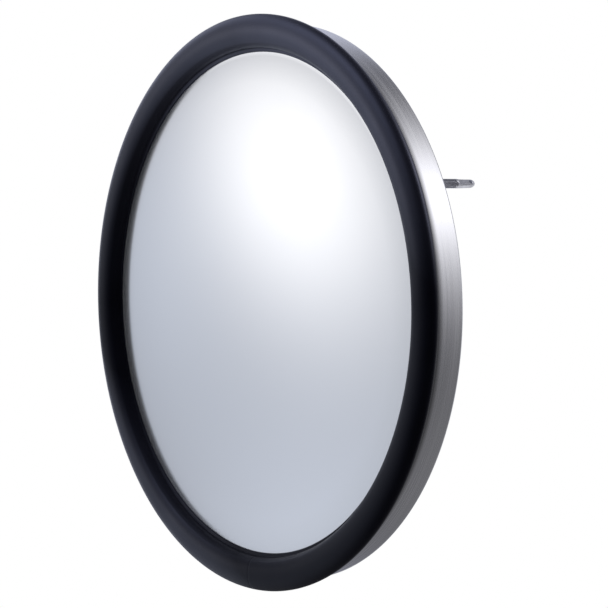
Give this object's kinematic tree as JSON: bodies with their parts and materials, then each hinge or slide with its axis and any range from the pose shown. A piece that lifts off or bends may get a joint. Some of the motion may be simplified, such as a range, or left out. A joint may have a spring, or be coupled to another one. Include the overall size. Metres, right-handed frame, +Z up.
{
  "type": "traffic convex mirror",
  "caption": "Round convex safety mirror with a rubber-edged stainless pan, tilting bracket and clamp on a bent threaded arm.",
  "frame": {"origin": "on the axis of the arm's level, threaded leg, in the plane of the front washer's rear face, where the arm is pulled against the panel that carries it", "axes": "+Z up, +Y from the mirror back along the arm's threaded leg, so the mirror faces -Y; the mirror's centre is 168 mm in front of the origin and 94.3 mm below it"},
  "size_m": [0.45, 0.2398, 0.45],
  "materials": {
    "mirror_steel": "polished",
    "edging_rubber": "satin",
    "brushed_stainless": "satin",
    "zinc_steel": "satin",
    "arm_steel": "satin",
    "pad_foam": "matte",
    "black_nylon": "matte",
    "friction_fibre": "matte"
  },
  "bodies": {
    "arm": {"arm_rod": "arm_steel", "end_cap": "black_nylon", "front_nut": "zinc_steel", "front_washer": "zinc_steel", "rear_washer": "zinc_steel", "rear_nut": "zinc_steel"},
    "sleeve": {"grip_sleeve": "black_nylon"},
    "clamp": {"clamp_body": "zinc_steel", "clamp_cap": "zinc_steel", "clamp_bolt_left": "zinc_steel", "clamp_bolt_right": "zinc_steel", "clamp_washer_left": "zinc_steel", "clamp_washer_right": "zinc_steel", "clamp_nut_left": "zinc_steel", "clamp_nut_right": "zinc_steel", "friction_washer_left": "friction_fibre", "friction_washer_right": "friction_fibre"},
    "head": {"mirror_face": "mirror_steel", "rubber_edging": "edging_rubber", "back_pan": "brushed_stainless", "foam_pad": "pad_foam", "reinforcement_plate": "zinc_steel", "tilt_bracket": "zinc_steel", "tilt_bolt": "zinc_steel", "tilt_washer_head": "zinc_steel", "tilt_washer_nut": "zinc_steel", "tilt_nut": "zinc_steel", "mount_stud_1": "zinc_steel", "spring_washer_1": "zinc_steel", "mount_nut_1": "zinc_steel", "mount_stud_2": "zinc_steel", "spring_washer_2": "zinc_steel", "mount_nut_2": "zinc_steel", "mount_stud_3": "zinc_steel", "spring_washer_3": "zinc_steel", "mount_nut_3": "zinc_steel", "mount_stud_4": "zinc_steel", "spring_washer_4": "zinc_steel", "mount_nut_4": "zinc_steel"}
  },
  "joints": [
    {"name": "height_slide", "type": "slide", "parent": "arm", "child": "sleeve", "axis": [0, 0, 1], "range_m": [-0.04, 0.04]},
    {"name": "pan", "type": "hinge", "parent": "sleeve", "child": "clamp", "pos_m": [0, -0.078, -0.0943], "axis": [0, 0, 1], "range_deg": [-30, 30]},
    {"name": "tilt", "type": "hinge", "parent": "clamp", "child": "head", "pos_m": [0, -0.106, -0.0943], "axis": [1, 0, 0], "range_deg": [-20, 20]}
  ]
}
